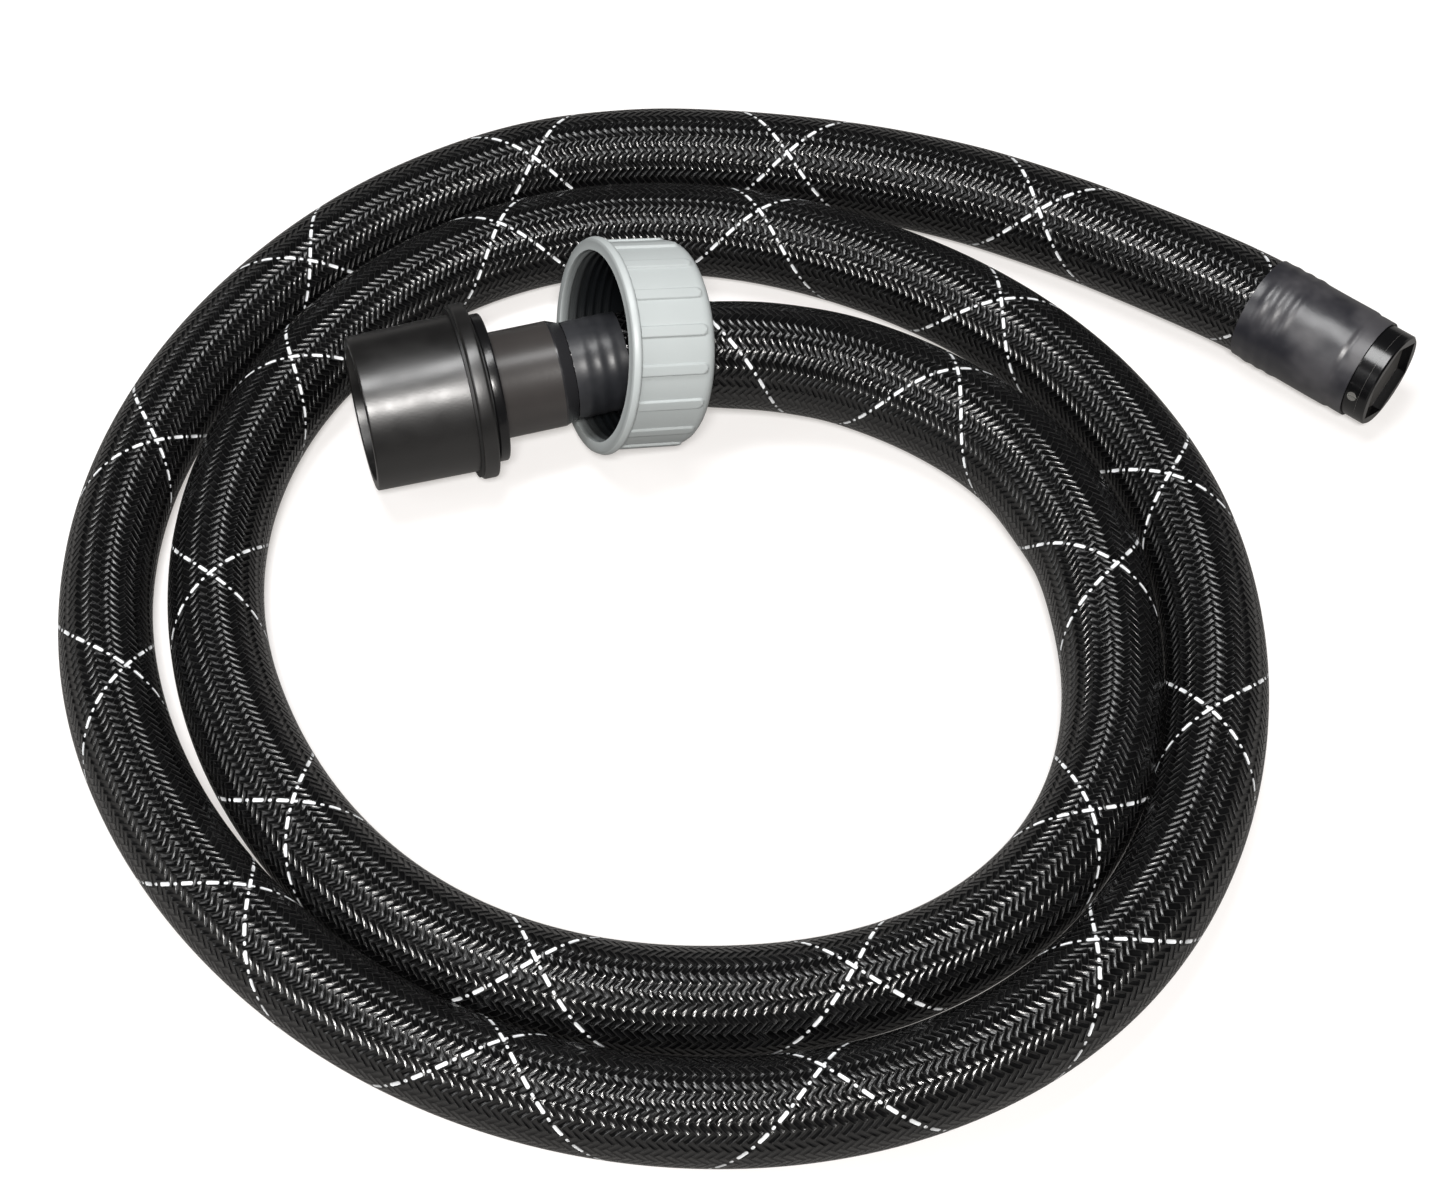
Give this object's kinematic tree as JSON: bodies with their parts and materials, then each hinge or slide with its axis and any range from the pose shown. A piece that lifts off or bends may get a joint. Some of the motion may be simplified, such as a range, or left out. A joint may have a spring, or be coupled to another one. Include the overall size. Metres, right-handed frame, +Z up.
{
  "type": "coiled suction hose with a swivel cuff, a union nut and a closing plug",
  "caption": "Suction hose in a woven sleeve, laid in a flat coil, with a socket cuff that swivels, a loose union nut behind it and a plug in the other end",
  "frame": {"origin": "centre of the mouth of the swivel cuff's socket", "axes": "+X runs from the mouth along the cuff's and the tail's axis into the hose, +Z is up from the flat surface on which the coil lies, 39.6 mm below the origin; +Y is across, to the left when looking along +X"},
  "size_m": [0.6251, 0.5513, 0.1013],
  "materials": {
    "cuff_plastic": "satin",
    "tail_plastic": "satin",
    "nut_plastic": "satin",
    "washer_plastic": "matte",
    "seam_plastic": "satin",
    "seal_rubber": "matte",
    "ring_steel": "brushed",
    "band_steel": "brushed",
    "shrink_tube": "satin",
    "hose_rubber": "matte",
    "sleeve_yarn": "woven",
    "plug_plastic": "gloss",
    "screw_steel": "polished"
  },
  "bodies": {
    "hose": {"suction_hose": "hose_rubber", "braided_sleeve": "sleeve_yarn", "hose_tail": "tail_plastic", "swivel_washer": "seam_plastic", "swivel_o_ring": "seal_rubber", "retaining_ring": "ring_steel", "tail_band_1": "band_steel", "tail_band_2": "band_steel", "tail_band_3": "band_steel", "tail_heat_shrink": "shrink_tube", "end_plug": "plug_plastic", "end_o_ring": "seal_rubber", "end_band_1": "band_steel", "end_band_2": "band_steel", "end_band_3": "band_steel", "end_heat_shrink": "shrink_tube", "plug_screw": "screw_steel"},
    "cuff": {"swivel_cuff": "cuff_plastic", "port_gasket": "seal_rubber"},
    "slip_ring": {"slip_washer": "washer_plastic"},
    "nut": {"union_nut": "nut_plastic"}
  },
  "joints": [
    {"name": "cuff_swivel", "type": "hinge", "parent": "hose", "child": "cuff", "pos_m": [0.045, 0, 0], "axis": [1, 0, 0], "continuous": true},
    {"name": "nut_swing", "type": "hinge", "parent": "hose", "child": "slip_ring", "pos_m": [0.13731, 0.01966, -0.18705], "axis": [0, -0.9945, -0.1045], "range_deg": [0, 15]},
    {"name": "nut_spin", "type": "hinge", "parent": "slip_ring", "child": "nut", "pos_m": [0.106, -0.00157, 0.01494], "axis": [0.9659, 0.0271, -0.2574], "continuous": true}
  ]
}
